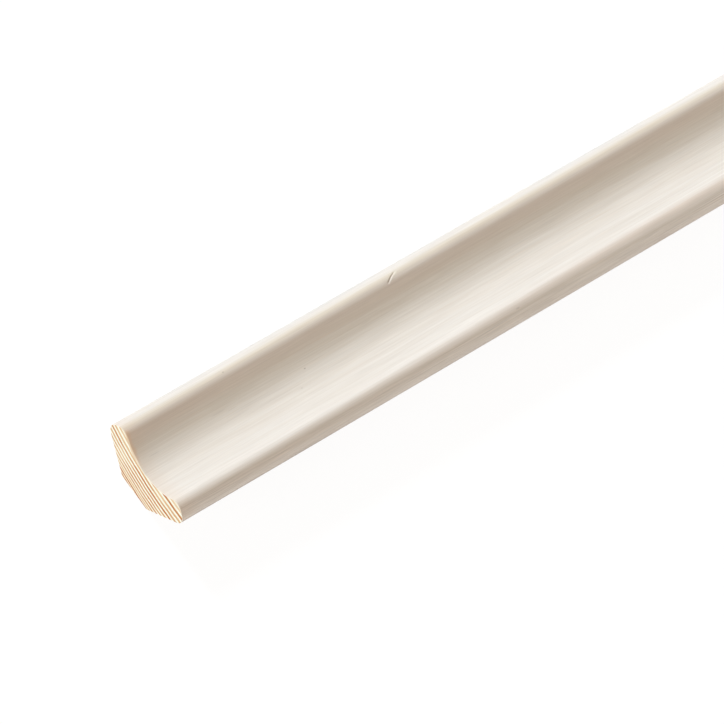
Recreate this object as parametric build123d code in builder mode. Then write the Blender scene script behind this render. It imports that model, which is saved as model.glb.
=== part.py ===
"""Cornice moulding, the hollow trim that covers the angle between a wall and a ceiling.
One length of pine milled from a flat board: a cove between two rounded lips on the front,
a contact face at 45 degrees behind each lip, and the flat back of the board between them.
It lies on its back with the cove up and its length along X; the origin is under its middle."""
import os
from math import hypot, sqrt

from build123d import *

# Stock length, and the planed board that the section is milled from.
length = 2400.0
board_width = 42.0
board_thickness = 21.0

# Each lip has a narrow flat, square to the contact face, between a round edge and a rounded front.
lip_flat = 1.8
lip_edge_radius = 4.5
lip_front_radius = 3.5

# Depth of the cove below the lips, and easing of the two back corners.
cove_depth = 6.4
back_easing = 0.8

# The round edge touches the edge of the board, and the rounded front touches its front.
edge_y = board_width / 2 - lip_edge_radius
front_y = edge_y + (lip_edge_radius - lip_front_radius - lip_flat) / sqrt(2)
front_z = board_thickness - lip_front_radius
edge_z = front_z - (lip_edge_radius - lip_front_radius + lip_flat) / sqrt(2)

# The contact face runs at 45 degrees from the back and ends tangent to the round edge.
half_back = edge_y - edge_z + sqrt(2) * lip_edge_radius
contact_end = (edge_y + lip_edge_radius / sqrt(2), edge_z - lip_edge_radius / sqrt(2))
lip_start = (edge_y + lip_edge_radius / sqrt(2), edge_z + lip_edge_radius / sqrt(2))
lip_end = (front_y + lip_front_radius / sqrt(2), front_z + lip_front_radius / sqrt(2))

# The cove is one arc, tangent to both rounded fronts, with its lowest line on the middle of the section.
middle_thickness = board_thickness - cove_depth
front_rise = front_z - middle_thickness
cove_radius = (front_y**2 + front_rise**2 - lip_front_radius**2) / (2 * cove_depth)
cove_centre_z = middle_thickness + cove_radius

# The rounded front changes into the cove on the line between their centres.
front_share = lip_front_radius / hypot(front_y, cove_centre_z - front_z)
cove_start_y = front_y * (1 - front_share)
cove_start_z = front_z + (cove_centre_z - front_z) * front_share

with BuildPart() as cornice:
    with BuildSketch(Plane.YZ) as section:
        with BuildLine() as outline:
            contact = Line((half_back, 0), contact_end)
            TangentArc(contact_end, lip_start, tangent=contact % 1)
            lip = Line(lip_start, lip_end)
            TangentArc(lip_end, (cove_start_y, cove_start_z), tangent=lip % 1)
            mirror(about=Plane.YZ)
            Line((-half_back, 0), (half_back, 0))
            ThreePointArc((cove_start_y, cove_start_z), (0, middle_thickness), (-cove_start_y, cove_start_z))
        make_face()
        back_corners = section.vertices().group_by(Axis.Y)[0]
        fillet(back_corners, radius=back_easing)
    extrude(amount=length / 2, both=True)

cornice.part.label = "cornice_moulding"

os.makedirs("parts", exist_ok=True)
export_step(cornice.part, "parts/cornice_moulding.step")
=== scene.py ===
from math import atan2, e, pi, radians, sqrt, tan

import bmesh
import bpy
from mathutils import Matrix, Vector, noise


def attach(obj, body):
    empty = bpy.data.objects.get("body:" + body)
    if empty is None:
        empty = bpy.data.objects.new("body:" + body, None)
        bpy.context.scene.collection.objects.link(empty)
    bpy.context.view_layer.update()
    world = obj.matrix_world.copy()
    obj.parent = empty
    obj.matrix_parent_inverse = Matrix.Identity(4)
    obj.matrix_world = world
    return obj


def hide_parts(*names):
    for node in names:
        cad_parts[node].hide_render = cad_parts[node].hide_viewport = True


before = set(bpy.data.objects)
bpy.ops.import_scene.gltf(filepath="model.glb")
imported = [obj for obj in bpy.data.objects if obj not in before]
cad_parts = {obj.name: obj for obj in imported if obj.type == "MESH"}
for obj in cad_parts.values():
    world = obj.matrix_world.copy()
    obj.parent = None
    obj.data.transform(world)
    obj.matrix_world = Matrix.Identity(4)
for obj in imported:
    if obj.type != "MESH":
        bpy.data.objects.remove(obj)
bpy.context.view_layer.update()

# The cornice moulding is one length of flat-sawn pine, planed on a moulder to a cove between two
# rounded lips. The front is sanded and coated with a thin white glaze that lets a little grain through;
# the wall face, the ceiling face and the back stay bare wood, and both ends are cross-cut square.
stock_length = 2.39999
board_width = 0.04197
board_thickness = 0.02099
lip_flat = 0.0018
lip_edge_radius = 0.0045
lip_front_radius = 0.0035
cove_depth = 0.0064
back_easing = 0.0008
arris = 0.0001

edge_y = board_width / 2 - lip_edge_radius
front_y = edge_y + (lip_edge_radius - lip_front_radius - lip_flat) / sqrt(2)
front_z = board_thickness - lip_front_radius
edge_z = front_z - (lip_edge_radius - lip_front_radius + lip_flat) / sqrt(2)
half_back = edge_y - edge_z + sqrt(2) * lip_edge_radius
edge_tangent = lip_edge_radius / sqrt(2)
front_tangent = lip_front_radius / sqrt(2)
cove_rise = front_z - board_thickness + cove_depth
cove_radius = (front_y**2 + cove_rise**2 - lip_front_radius**2) / (2 * cove_depth)
cove_z = board_thickness - cove_depth + cove_radius
cove_half_turn = atan2(front_y, cove_z - front_z)
front_turn = radians(45) + cove_half_turn
easing_y = half_back - back_easing * tan(radians(22.5))
easing_tangent = back_easing / sqrt(2)
sawn_x = -stock_length / 2

edge_steps, lip_steps, front_steps, cove_steps, easing_steps, flat_steps = 24, 10, 44, 90, 4, 8

stock = bmesh.new()
run = stock.verts.layers.float.new("run")
dent = stock.verts.layers.float.new("dent")


def turned(start, centre, angle, steps):
    """Carries the outline on from a vertex round a centre in the section, and returns its last vertex."""
    made = bmesh.ops.spin(
        stock, geom=[start], cent=(sawn_x, *centre), axis=(1, 0, 0), angle=angle, steps=steps
    )
    return next(part for part in made["geom_last"] if isinstance(part, bmesh.types.BMVert))


def straight(start, end, steps, spare=0):
    """Carries the outline on from a vertex in a straight line, and returns its last vertex."""
    step = (Vector((sawn_x, *end)) - start.co) / steps
    for _ in range(steps - spare):
        start = bmesh.ops.extrude_vert_indiv(stock, verts=[start])["verts"][0]
        start.co += step
    return start


first = stock.verts.new((sawn_x, edge_y + edge_tangent, edge_z - edge_tangent))
last = turned(first, (edge_y, edge_z), radians(90), edge_steps)
last = straight(last, (front_y + front_tangent, front_z + front_tangent), lip_steps)
last = turned(last, (front_y, front_z), front_turn, front_steps)
last = turned(last, (0, cove_z), -2 * cove_half_turn, cove_steps)
last = turned(last, (-front_y, front_z), front_turn, front_steps)
last = straight(last, (-edge_y - edge_tangent, edge_z + edge_tangent), lip_steps)
last = turned(last, (-edge_y, edge_z), radians(90), edge_steps)
last = straight(last, (-easing_y - easing_tangent, back_easing - easing_tangent), flat_steps)
last = turned(last, (-easing_y, back_easing), radians(45), easing_steps)
last = straight(last, (easing_y, 0), flat_steps)
last = turned(last, (easing_y, back_easing), radians(45), easing_steps)
last = straight(last, first.co.yz, flat_steps, spare=1)
bmesh.ops.contextual_create(stock, geom=[last, first])

# Each vertex keeps its way round the outline from the first lip, for the map that the finish is baked on.
walk, before, girth = first, last, 0.0
while walk is not last:
    onward = next(
        edge.other_vert(walk) for edge in walk.link_edges if edge.other_vert(walk) is not before
    )
    girth += (onward.co - walk.co).length
    onward[run] = girth
    walk, before = onward, walk
girth += (first.co - last.co).length

# The outline is drawn out along the length, in short steps where a dent crosses the upper lip.
dent_line = (Vector((0.125, 0.0172)), Vector((0.1226, 0.0162)), Vector((0.1196, 0.0143)))
near_start, near_step = 0.004, 0.009
dent_start, dent_step = 0.1155, 0.00022
far_parts = 48
stations = [near_start + near_step * n for n in range(13)]
stations += [dent_start + dent_step * n for n in range(60)]
stations += [0.136, 0.15, 0.17, 0.2, 0.25]
stations += [stock_length / far_parts * n for n in range(6, far_parts + 1)]
ring, at = stock.edges[:], 0.0
sawn_edges = ring
for station in stations:
    made = bmesh.ops.extrude_edge_only(stock, edges=ring)["geom"]
    ring = [part for part in made if isinstance(part, bmesh.types.BMEdge)]
    drawn = [part for part in made if isinstance(part, bmesh.types.BMVert)]
    bmesh.ops.translate(stock, verts=drawn, vec=(station - at, 0, 0))
    at = station
bmesh.ops.contextual_create(stock, geom=sawn_edges)
bmesh.ops.contextual_create(stock, geom=ring)
bmesh.ops.recalc_face_normals(stock, faces=stock.faces)
bmesh.ops.bevel(
    stock, geom=sawn_edges + ring, offset=arris, offset_type="OFFSET", affect="EDGES",
    segments=1, profile=0.5, material=-1, clamp_overlap=True,
)

# The dent is a short curved nick, as from a fingernail: a rounded groove that fades out at both ends.
dent_half_width = 0.00046
dent_depth = 0.00034
dent_fade = 0.0011
dent_zone_near, dent_zone_far, dent_zone_y = 0.114, 0.13, 0.012
whole = sum((b - a).length for a, b in zip(dent_line, dent_line[1:]))
for vert in stock.verts:
    here = Vector((vert.co.x - sawn_x, vert.co.y))
    if not dent_zone_near <= here.x <= dent_zone_far or here.y < dent_zone_y or vert.co.z < front_z:
        continue
    nearest = None
    for head, tail in zip(dent_line, dent_line[1:]):
        reach = (tail - head).length
        along = min(max((here - head).dot(tail - head) / reach**2, 0), 1)
        gap = (here - head.lerp(tail, along)).length
        if nearest is None or gap < nearest[0]:
            nearest = gap, along * reach + (head - dent_line[0]).length
    gap, passed = nearest
    fade = min(1, passed / dent_fade, (whole - passed) / dent_fade)
    if gap < dent_half_width and fade > 0:
        vert[dent] = fade * (1 - (gap / dent_half_width) ** 1.5)
        inward = Vector((0, front_y - vert.co.y, front_z - vert.co.z)).normalized()
        vert.co += inward * dent_depth * vert[dent]

# The saw has broken fibres out of the front arris, most of all on the near end,
# from the upper lip down into the cove.
chip_height = 0.00045
chip_depth = 0.0004
chipped_from, chipped_to = 0.0010, 0.0158
chips_fade_in, chips_fade_out = 0.005, 0.002
chips_per_metre = 400
slight_chip = 0.06
stock.normal_update()
for vert in stock.verts:
    from_cut = min(vert.co.x - sawn_x, -sawn_x - vert.co.x)
    outward = Vector((0, vert.normal.y, vert.normal.z)).normalized()
    if from_cut > 1.5 * arris or outward.z < 0.3:
        continue
    rough = 0.75 + noise.noise(Vector((0, vert.co.y, vert.co.z)) * chips_per_metre) * 0.5
    broken = slight_chip
    if vert.co.x < 0:
        low_end = min(max((vert.co.y - chipped_from) / chips_fade_in, 0), 1)
        high_end = min(max((chipped_to - vert.co.y) / chips_fade_out, 0), 1)
        broken += (1 - slight_chip) * low_end * high_end
    size = broken * min(max(rough, 0.1), 1)
    if from_cut < 0.5 * arris:
        vert.co -= outward * chip_height * size
    else:
        vert.co.x += chip_depth * size * (1 if vert.co.x < 0 else -1)

# The map: two strips, one for each half of the length, with the two ends side by side above them.
map_margin, map_width = 0.01, 0.98
strip_height, strip_pitch = 0.35, 0.365
ends_base, end_height, end_width, end_pitch = 0.745, 0.24, 0.48, 0.5
stock.normal_update()
bake_map = stock.loops.layers.uv.new("OFBake")
for face in stock.faces:
    centre = face.calc_center_median()
    half = 0 if centre.x < 0 else 1
    at_end = -sawn_x - abs(centre.x) < arris + chip_depth
    seam = max(loop.vert[run] for loop in face.loops) > girth * 0.75
    for loop in face.loops:
        place = loop.vert.co
        if at_end:
            u = map_margin + end_pitch * half + end_width * (place.y / board_width + 0.5)
            v = ends_base + end_height * place.z / board_thickness
        else:
            way = loop.vert[run] + (girth if seam and loop.vert[run] < girth * 0.25 else 0)
            u = map_margin + map_width * (place.x - sawn_x * (1 - half)) / (stock_length / 2)
            v = map_margin + strip_pitch * half + strip_height * way / girth
        loop[bake_map].uv = (u, v)
    face.material_index = 1 if len(face.verts) > 4 else 0
    face.smooth = True
stock.verts.layers.float.remove(run)

moulding_mesh = bpy.data.meshes.new("cornice_dressed")
stock.to_mesh(moulding_mesh)
stock.free()
moulding_mesh.set_sharp_from_angle(angle=radians(30))
moulding = bpy.data.objects.new("cornice_dressed", moulding_mesh)
bpy.context.scene.collection.objects.link(moulding)


def put(tree, kind, feeds, pick=0, **settings):
    """Adds one shader node with its settings and feeds, and returns the output that is used."""
    made = tree.nodes.new("ShaderNode" + kind)
    for name, value in settings.items():
        setattr(made, name, value)
    for key, value in feeds.items():
        if isinstance(value, bpy.types.NodeSocket):
            tree.links.new(value, made.inputs[key])
        else:
            made.inputs[key].default_value = value
    return made.outputs[pick]


def reckon(tree, operation, *values):
    """One sum on numbers that vary over the piece."""
    return put(tree, "Math", dict(enumerate(values)), operation=operation)


def eased(tree, value, low, high, at_low=0.0, at_high=1.0):
    """Goes smoothly from one value to another as a number goes from low to high."""
    feeds = {0: value, 1: low, 2: high, 3: at_low, 4: at_high}
    return put(tree, "MapRange", feeds, interpolation_type="SMOOTHSTEP")


def tinted(tree, share, under, over, blend_type="MIX"):
    """One colour over another by a share from 0 to 1."""
    return put(tree, "Mix", {0: share, 6: under, 7: over}, 2, data_type="RGBA", blend_type=blend_type)


def near_line(tree, value, middle, reach):
    """1 where a number is at its middle value, falling smoothly to 0 a reach away on both sides."""
    off = reckon(tree, "ABSOLUTE", reckon(tree, "SUBTRACT", value, middle))
    return eased(tree, off, 0.0, reach, 1.0, 0.0)


def grey(tree, value):
    """A grey of one value, to make a colour lighter or darker by."""
    return put(tree, "CombineColor", {0: value, 1: value, 2: value})


def clouds(tree, place, per_metre, detail=2.0, roughness=0.5):
    """Soft noise about 0.5, with so many clouds a metre in each direction."""
    stretched = put(tree, "Mapping", {"Vector": place, "Scale": per_metre})
    feeds = {"Vector": stretched, "Scale": 1.0, "Detail": detail, "Roughness": roughness}
    return put(tree, "TexNoise", feeds)


# Growth rings: years counted outwards from one ring line, narrower each year, round a pith line
# above the cove. Lengths here are in millimetres.
pith = (0.0, -17.8, 122.3)
ring_radius = 110.4
ring_width = 2.28
narrowing = 0.0334
latewood_by_year = (0.5, 0.4, 0.9, 0.55, 0.7, 1.1, 0.8, 0.82, 0.86, 0.8, 0.5, 1.1, 0.8, 0.7, 0.9)
first_year = -4


def growth_rings(tree, place):
    """Radius from the pith in mm, and latewood from 0 to 1, at each point of the wood."""
    across = put(tree, "Mapping", {"Vector": place, "Scale": (0, 1000, 1000)})
    radius = put(tree, "VectorMath", {0: across, 1: pith}, "Value", operation="DISTANCE")
    along = tree.nodes.new("ShaderNodeSeparateXYZ")
    tree.links.new(place, along.inputs[0])
    free = eased(tree, along.outputs["X"], sawn_x, sawn_x + 0.3, 0.0, 5.0)
    wander = reckon(tree, "SUBTRACT", clouds(tree, place, (1.7, 9, 9), 1.0), 0.5)
    ripple = reckon(tree, "MULTIPLY_ADD", clouds(tree, place, (30, 170, 170)), 0.8, -0.4)
    radius = reckon(tree, "ADD", reckon(tree, "MULTIPLY_ADD", wander, free, radius), ripple)
    inside = reckon(tree, "MULTIPLY_ADD", radius, -narrowing, 1 + narrowing * ring_radius)
    years = reckon(tree, "LOGARITHM", reckon(tree, "MAXIMUM", inside, 0.05), e)
    years = reckon(tree, "MULTIPLY", years, -1 / (narrowing * ring_width))
    season = reckon(tree, "FRACT", reckon(tree, "ADD", years, 0.85))
    growing = eased(tree, season, 0.41, 0.78)
    ending = eased(tree, season, 0.0, 0.14, 1.0, 0.0)
    latewood = reckon(tree, "MAXIMUM", growing, ending)
    year = reckon(tree, "FLOOR", reckon(tree, "ADD", years, 0.5))
    place_in_row = put(
        tree, "MapRange", {0: year, 1: first_year - 0.5, 2: first_year + len(latewood_by_year) - 0.5}
    )
    row = tree.nodes.new("ShaderNodeValToRGB")
    row.color_ramp.interpolation = "CONSTANT"
    stops = row.color_ramp.elements
    for n, strength in enumerate(latewood_by_year):
        stop = stops[0] if n == 0 else stops.new(n / len(latewood_by_year))
        stop.color = (strength, strength, strength, 1)
    stops.remove(stops[-1])
    tree.links.new(place_in_row, row.inputs[0])
    patchy = eased(tree, clouds(tree, place, (12, 150, 150)), 0.3, 0.7, 0.8, 1.1)
    patchy = reckon(tree, "MULTIPLY", patchy, eased(tree, along.outputs["Y"], -0.008, 0.014, 1.1, 0.84))
    strength = reckon(tree, "MULTIPLY", row.outputs[0], patchy)
    return radius, reckon(tree, "MULTIPLY", latewood, strength)


# Glazed front and bare planed faces, which meet just behind each lip.
cream_glaze = (0.86, 0.82, 0.755, 1)
glaze_over_grain = (0.80, 0.745, 0.665, 1)
# Colours of the painted shade: warm on the upper lip's crest, under the upper lip, on the lower lip and grey
# on the upper lip's outer side; brown for the lower lip's rubbing and its painted shade.
warm_crest_shade = (0.98, 0.955, 0.89, 1)
shade_under_upper_lip = (0.73, 0.64, 0.55, 1)
shade_on_lower_lip = (0.71, 0.62, 0.53, 1)
painted_shade_grey = (0.70, 0.70, 0.69, 1)
rubbed_brown_and_shade = (0.36, 0.29, 0.24, 1)
planed_earlywood = (0.80, 0.63, 0.42, 1)
planed_latewood = (0.60, 0.36, 0.17, 1)
torn_fibre = (0.84, 0.57, 0.36, 1)
dark_marking = (0.23, 0.18, 0.14, 1)
glaze_edge_z = edge_z - edge_tangent - 0.0009
# Places and reaches of the painted light and shade across the front, and of the lower lip's rubbing.
upper_shade_y, upper_shade_reach = 0.0133, 0.0050
lower_shade_near_y, lower_shade_far_y, lower_shade_reach = -0.0178, -0.0152, 0.0034
cove_light_y, cove_light_reach = -0.0030, 0.0065
crest_shade_y, crest_shade_reach = 0.0167, 0.0019
upper_shade_side_y, upper_shade_low, upper_shade_high = 0.0180, 0.0170, 0.0202
lower_rub_and_shade_y, lower_rub_and_shade_low, lower_rub_and_shade_high = -0.0180, 0.0152, 0.0168
lip_side_edge = 0.0005

glazed_pine = bpy.data.materials.new("glazed_pine")
glazed_pine.use_nodes = True
tree = glazed_pine.node_tree
surface = tree.nodes["Principled BSDF"]
surface.inputs["Specular IOR Level"].default_value = 0.3
place = put(tree, "TexCoord", {}, "Object")
axes = tree.nodes.new("ShaderNodeSeparateXYZ")
tree.links.new(place, axes.inputs[0])

from_near = reckon(tree, "SUBTRACT", axes.outputs["X"], sawn_x)
from_cut = reckon(tree, "SUBTRACT", -sawn_x, reckon(tree, "ABSOLUTE", axes.outputs["X"]))
radius, latewood = growth_rings(tree, place)
streaks = clouds(tree, place, (22, 900, 900), 3.0, 0.6)
fine_streaks = clouds(tree, place, (60, 3200, 3200), 2.0, 0.5)

bare = tinted(tree, latewood, planed_earlywood, planed_latewood)
fibre_shade = eased(tree, fine_streaks, 0.25, 0.75, 0.93, 1.05)
bare = tinted(tree, 1.0, bare, grey(tree, fibre_shade), "MULTIPLY")
canals = eased(tree, clouds(tree, place, (45, 2600, 2600), 0.0), 0.73, 0.8, 0.0, 0.45)
bare = tinted(tree, canals, bare, planed_latewood)

thin_glaze = reckon(tree, "MULTIPLY", eased(tree, streaks, 0.32, 0.7), 0.7)
telegraphed = reckon(tree, "MULTIPLY_ADD", latewood, 0.16, thin_glaze)
coat = tinted(tree, telegraphed, cream_glaze, glaze_over_grain)

# Painted light and shade across the front: the glaze is painted lighter low in the cove, with painted shade
# under the upper lip and along the lower one.
cove_painted_light = near_line(tree, axes.outputs["Y"], cove_light_y, cove_light_reach)
cove_painted_light = reckon(tree, "MULTIPLY_ADD", cove_painted_light, 0.055, 1.0)
coat = tinted(tree, 1.0, coat, grey(tree, cove_painted_light), "MULTIPLY")
# Painted shade under the upper lip, strongest near the near end.
upper_painted_shade = near_line(tree, axes.outputs["Y"], upper_shade_y, upper_shade_reach)
upper_painted_shade = reckon(tree, "MULTIPLY", upper_painted_shade, eased(tree, from_cut, 0.0, 0.07, 0.95, 0.65))
coat = tinted(tree, upper_painted_shade, coat, shade_under_upper_lip, "DARKEN")
# A warm painted shade along the crest of the upper lip.
crest_shade = near_line(tree, axes.outputs["Y"], crest_shade_y, crest_shade_reach)
coat = tinted(tree, crest_shade, coat, warm_crest_shade, "MULTIPLY")
# Painted shade along the lower lip, lying further out and weaker towards the near end.
drift = eased(tree, from_near, 0.0, 0.24, lower_shade_near_y, lower_shade_far_y)
lower_painted_shade = near_line(tree, axes.outputs["Y"], drift, lower_shade_reach)
lower_painted_shade = reckon(tree, "MULTIPLY", lower_painted_shade, eased(tree, from_near, 0.10, 0.24, 0.55, 0.95))
coat = tinted(tree, lower_painted_shade, coat, shade_on_lower_lip, "DARKEN")

# The outer side of each lip is darkened in patches: a grey painted shade on the upper one, and brown rubbing
# with painted shade on the lower one, the lower one most of all towards the near end.
patches = clouds(tree, place, (25, 60, 60), 2.0)
# Grey painted shade on the outer side of the upper lip.
upper_lip_painted_shade = reckon(
    tree, "MULTIPLY", eased(tree, axes.outputs["Z"], upper_shade_low, upper_shade_high, 0.6, 0.0),
    eased(tree, axes.outputs["Y"], upper_shade_side_y - lip_side_edge, upper_shade_side_y + lip_side_edge),
)
upper_lip_painted_shade = reckon(tree, "MULTIPLY", upper_lip_painted_shade, eased(tree, patches, 0.3, 0.7))
coat = tinted(tree, upper_lip_painted_shade, coat, painted_shade_grey)
# Brown rubbing with painted shade on the outer side of the lower lip.
lower_rub_and_shade = reckon(
    tree, "MULTIPLY", eased(tree, axes.outputs["Z"], lower_rub_and_shade_low, lower_rub_and_shade_high, 0.8, 0.0),
    eased(tree, axes.outputs["Y"], lower_rub_and_shade_y - lip_side_edge, lower_rub_and_shade_y + lip_side_edge, 1.0, 0.0),
)
lower_rub_and_shade = reckon(tree, "MULTIPLY", lower_rub_and_shade, eased(tree, patches, 0.25, 0.75, 0.5, 1.0))
fading = eased(tree, from_near, 0.02, 0.26, 1.0, 0.4)
coat = tinted(tree, reckon(tree, "MULTIPLY", lower_rub_and_shade, fading), coat, rubbed_brown_and_shade)

# Fine grain shows through the whole coat, most of all on the outer side of the lower lip.
grain_show = eased(tree, axes.outputs["Y"], lower_rub_and_shade_y - lip_side_edge, lower_rub_and_shade_y + 2 * lip_side_edge, 0.6, 0.22)
grain_shade = reckon(tree, "SUBTRACT", fine_streaks, 0.5)
grain_shade = reckon(tree, "MULTIPLY_ADD", grain_shade, grain_show, 1.0)
coat = tinted(tree, 1.0, coat, grey(tree, grain_shade), "MULTIPLY")
flecks = eased(tree, clouds(tree, place, (40, 2300, 2300), 1.0), 0.68, 0.80, 0.0, 0.1)
coat = tinted(tree, flecks, coat, torn_fibre)

# Marks left on the glaze in handling: distance from the near end, place across, half length,
# half width and strength.
marks = (
    (0.0450, 0.0164, 0.0004, 0.0003, 0.45),
    (0.0754, 0.0043, 0.0006, 0.00025, 0.45),
    (0.0700, -0.0012, 0.0008, 0.0004, 0.12),
    (0.0368, 0.0059, 0.0045, 0.0003, 0.14),
    (0.0424, 0.0048, 0.003, 0.0002, 0.10),
    (0.0073, 0.0048, 0.003, 0.0003, 0.12),
    (0.1055, 0.0075, 0.0035, 0.0003, 0.10),
    (0.1566, -0.0170, 0.0012, 0.0003, 0.25),
)
for from_end, across, mark_length, mark_width, strength in marks:
    scale = (1 / mark_length, 1 / mark_width, 0)
    centre = (-(sawn_x + from_end) / mark_length, -across / mark_width, 0)
    reach = put(tree, "Mapping", {"Vector": place, "Scale": scale, "Location": centre})
    off = put(tree, "VectorMath", {0: reach}, "Value", operation="LENGTH")
    coat = tinted(tree, eased(tree, off, 0.35, 1.0, strength, 0.0), coat, dark_marking)

# The dent is darker along its bottom, the glaze ends raggedly behind each lip, and the wood shows orange
# where fibres are torn at the cut.
pressed = put(tree, "Attribute", {}, "Fac", attribute_name="dent")
coat = tinted(tree, eased(tree, pressed, 0.55, 1.0, 0.0, 0.25), coat, dark_marking)

ragged = clouds(tree, place, (160, 260, 260), 3.0)
edge_height = reckon(tree, "MULTIPLY_ADD", ragged, 0.0011, axes.outputs["Z"])
glazed = eased(tree, edge_height, glaze_edge_z + 0.0003, glaze_edge_z + 0.0009)
splinter = clouds(tree, place, (0, 380, 380), 3.0)
broken = reckon(
    tree, "MULTIPLY", eased(tree, axes.outputs["Y"], 0.001, 0.008, 0.05, 1.0),
    eased(tree, axes.outputs["Y"], 0.0148, 0.0165, 1.0, 0.1),
)
fibre_reach = reckon(tree, "MULTIPLY", eased(tree, splinter, 0.3, 0.7, 0.0, 0.0009), broken)
torn = eased(tree, reckon(tree, "SUBTRACT", from_cut, fibre_reach), -0.0001, 0.0018, 0.55, 0.0)
torn = reckon(tree, "MULTIPLY", torn, broken)
coat = tinted(tree, torn, coat, torn_fibre)
coat = tinted(tree, eased(tree, from_cut, 0.0, 0.009, 0.14, 0.0), coat, torn_fibre)
tree.links.new(tinted(tree, glazed, bare, coat), surface.inputs["Base Color"])

# Satin over the glaze; on the bare faces harder latewood, fine fibres and the marks of the planer knives.
satin = eased(tree, streaks, 0.3, 0.7, 0.46, 0.54)
planed_roughness = eased(tree, latewood, 0.0, 1.0, 0.68, 0.55)
tree.links.new(
    put(tree, "Mix", {0: glazed, 2: planed_roughness, 3: satin}), surface.inputs["Roughness"]
)
knife_marks = put(
    tree, "TexWave", {"Vector": place, "Scale": 190.0, "Distortion": 1.2, "Detail": 1.0, "Detail Scale": 3.0},
    "Fac", bands_direction="X",
)
planed_height = reckon(tree, "MULTIPLY", fine_streaks, 0.8)
planed_height = reckon(tree, "MULTIPLY_ADD", knife_marks, 0.25, planed_height)
planed_height = reckon(tree, "MULTIPLY_ADD", latewood, 0.5, planed_height)
coat_height = reckon(tree, "MULTIPLY", streaks, 0.5)
coat_height = reckon(tree, "MULTIPLY_ADD", fine_streaks, 0.35, coat_height)
height = put(tree, "Mix", {0: glazed, 2: planed_height, 3: coat_height})
relief = put(tree, "Bump", {"Height": height, "Strength": 0.35, "Distance": 0.00003})
tree.links.new(relief, surface.inputs["Normal"])
moulding_mesh.materials.append(glazed_pine)

# Sawn ends: the same rings seen end on, paler between them, tan near the bark side, with pores and saw marks.
sawn_cream = (0.95, 0.93, 0.86, 1)
sawn_tan = (0.86, 0.77, 0.66, 1)
sawn_amber = (0.77, 0.53, 0.335, 1)
sawn_latewood = (0.50, 0.15, 0.03, 1)
tan_from, tan_to = 116.0, 124.0

sawn_pine = bpy.data.materials.new("sawn_pine")
sawn_pine.use_nodes = True
tree = sawn_pine.node_tree
surface = tree.nodes["Principled BSDF"]
surface.inputs["Specular IOR Level"].default_value = 0.3
place = put(tree, "TexCoord", {}, "Object")
radius, latewood = growth_rings(tree, place)
early = tinted(tree, eased(tree, radius, tan_from, tan_to), sawn_cream, sawn_tan)
deepening = tree.nodes.new("ShaderNodeValToRGB")
deepening.color_ramp.elements[0].color = (1, 1, 1, 1)
deepening.color_ramp.elements[1].color = sawn_latewood
deepening.color_ramp.elements.new(0.5).color = sawn_amber
tree.links.new(latewood, deepening.inputs[0])
wood = tinted(tree, 1.0, early, deepening.outputs[0], "MULTIPLY")
pores = clouds(tree, place, (0, 4200, 4200), 2.0)
wood = tinted(tree, 1.0, wood, grey(tree, eased(tree, pores, 0.3, 0.7, 0.95, 1.03)), "MULTIPLY")
tree.links.new(wood, surface.inputs["Base Color"])
tree.links.new(eased(tree, latewood, 0.0, 1.0, 0.88, 0.7), surface.inputs["Roughness"])
saw_marks = put(
    tree, "TexWave", {"Vector": place, "Scale": 380.0, "Distortion": 3.0, "Detail": 2.0, "Detail Scale": 2.0},
    "Fac", bands_direction="Y",
)
sawn_height = reckon(tree, "MULTIPLY", saw_marks, 0.4)
sawn_height = reckon(tree, "MULTIPLY_ADD", latewood, 0.6, sawn_height)
sawn_height = reckon(tree, "MULTIPLY_ADD", pores, 0.8, sawn_height)
relief = put(tree, "Bump", {"Height": sawn_height, "Strength": 0.4, "Distance": 0.00004})
tree.links.new(relief, surface.inputs["Normal"])
moulding_mesh.materials.append(sawn_pine)

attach(moulding, "root")
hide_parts("cornice_moulding")

# The floor is one plain white sheet, far wider than the stock is long, that keeps a faint shadow.
floor_half_width = 40
floor_drop = 0.0002
floor_mesh = bpy.data.meshes.new("floor")
sheet = bmesh.new()
bmesh.ops.create_grid(sheet, x_segments=1, y_segments=1, size=floor_half_width)
bmesh.ops.translate(sheet, verts=sheet.verts, vec=(0, 0, -floor_drop))
sheet.to_mesh(floor_mesh)
sheet.free()
floor = bpy.data.objects.new("floor", floor_mesh)
bpy.context.scene.collection.objects.link(floor)
floor_white = bpy.data.materials.new("floor_white")
floor_white.use_nodes = True
tree = floor_white.node_tree
tree.nodes.remove(tree.nodes["Principled BSDF"])
path = tree.nodes.new("ShaderNodeLightPath")
seen = reckon(tree, "MAXIMUM", path.outputs["Is Camera Ray"], path.outputs["Is Glossy Ray"])
matt = put(tree, "BsdfDiffuse", {"Color": (0.92, 0.89, 0.83, 1)})
shadow_only = put(tree, "BsdfDiffuse", {"Color": (0.12, 0.12, 0.12, 1)})
glow = put(tree, "Emission", {"Color": (0.93, 0.93, 0.93, 1)})
bright = put(tree, "AddShader", {0: shadow_only, 1: glow})
sheet_look = put(tree, "MixShader", {0: seen, 1: matt, 2: bright})
tree.links.new(sheet_look, tree.nodes["Material Output"].inputs["Surface"])
floor_mesh.materials.append(floor_white)

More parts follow.
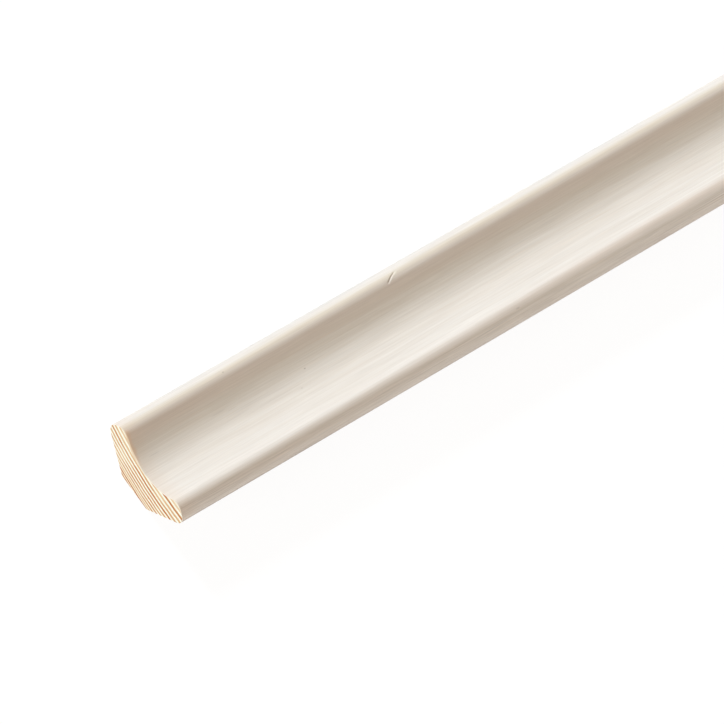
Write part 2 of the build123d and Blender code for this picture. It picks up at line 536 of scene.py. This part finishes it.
# Studio light: warm light from all round the room, a broad cool key from beyond the upper lip, a softer
# lamp on the sawn end and a weak fill low on the other side. The room looks white to the camera.
studio = bpy.data.worlds.new("studio")
bpy.context.scene.world = studio
studio.use_nodes = True
tree = studio.node_tree
room = tree.nodes["Background"]
room.inputs["Color"].default_value = (0.388, 0.308, 0.25, 1)
path = tree.nodes.new("ShaderNodeLightPath")
seen = reckon(tree, "MAXIMUM", path.outputs["Is Camera Ray"], path.outputs["Is Glossy Ray"])
seen = reckon(tree, "MAXIMUM", seen, path.outputs["Is Transmission Ray"])
white = put(tree, "Background", {"Color": (1, 1, 1, 1)})
look = put(tree, "MixShader", {0: seen, 1: room.outputs[0], 2: white})
tree.links.new(look, tree.nodes["World Output"].inputs["Surface"])


def far_lamp(name, towards, strength, colour, spread):
    """A far soft lamp, with the direction from the stock to the lamp."""
    lamp = bpy.data.lights.new(name, "SUN")
    lamp.energy = strength * pi
    lamp.color = colour
    lamp.angle = radians(spread)
    holder = bpy.data.objects.new(name, lamp)
    holder.rotation_euler = Vector(towards).to_track_quat("Z", "Y").to_euler()
    bpy.context.scene.collection.objects.link(holder)


far_lamp("key", (0.0, 0.839, 0.545), 0.65, (0.90, 1.0, 1.13), 12)
far_lamp("end_lamp", (-0.966, 0.0, 0.259), 0.55, (0.86, 1.0, 0.94), 30)
far_lamp("low_fill", (0.0, -0.996, 0.087), 0.13, (0.95, 1.0, 1.2), 25)

# The camera has a long lens and looks down on the sawn end, rolled so that the length runs up to the right.
camera_data = bpy.data.cameras.new("camera")
camera_data.sensor_width = 36
camera_data.lens = 304.65
camera_data.clip_end = 200
camera = bpy.data.objects.new("camera", camera_data)
camera_place = (-2.15364, -0.43382, 1.84908)
picture_right = Vector((0.75519, -0.58548, 0.29480))
picture_up = Vector((0.43925, 0.78580, 0.43540))
picture_axes = Matrix((picture_right, picture_up, picture_right.cross(picture_up))).transposed()
camera.matrix_world = Matrix.Translation(camera_place) @ picture_axes.to_4x4()
bpy.context.scene.collection.objects.link(camera)
bpy.context.scene.camera = camera
bpy.context.scene.view_settings.view_transform = "Standard"
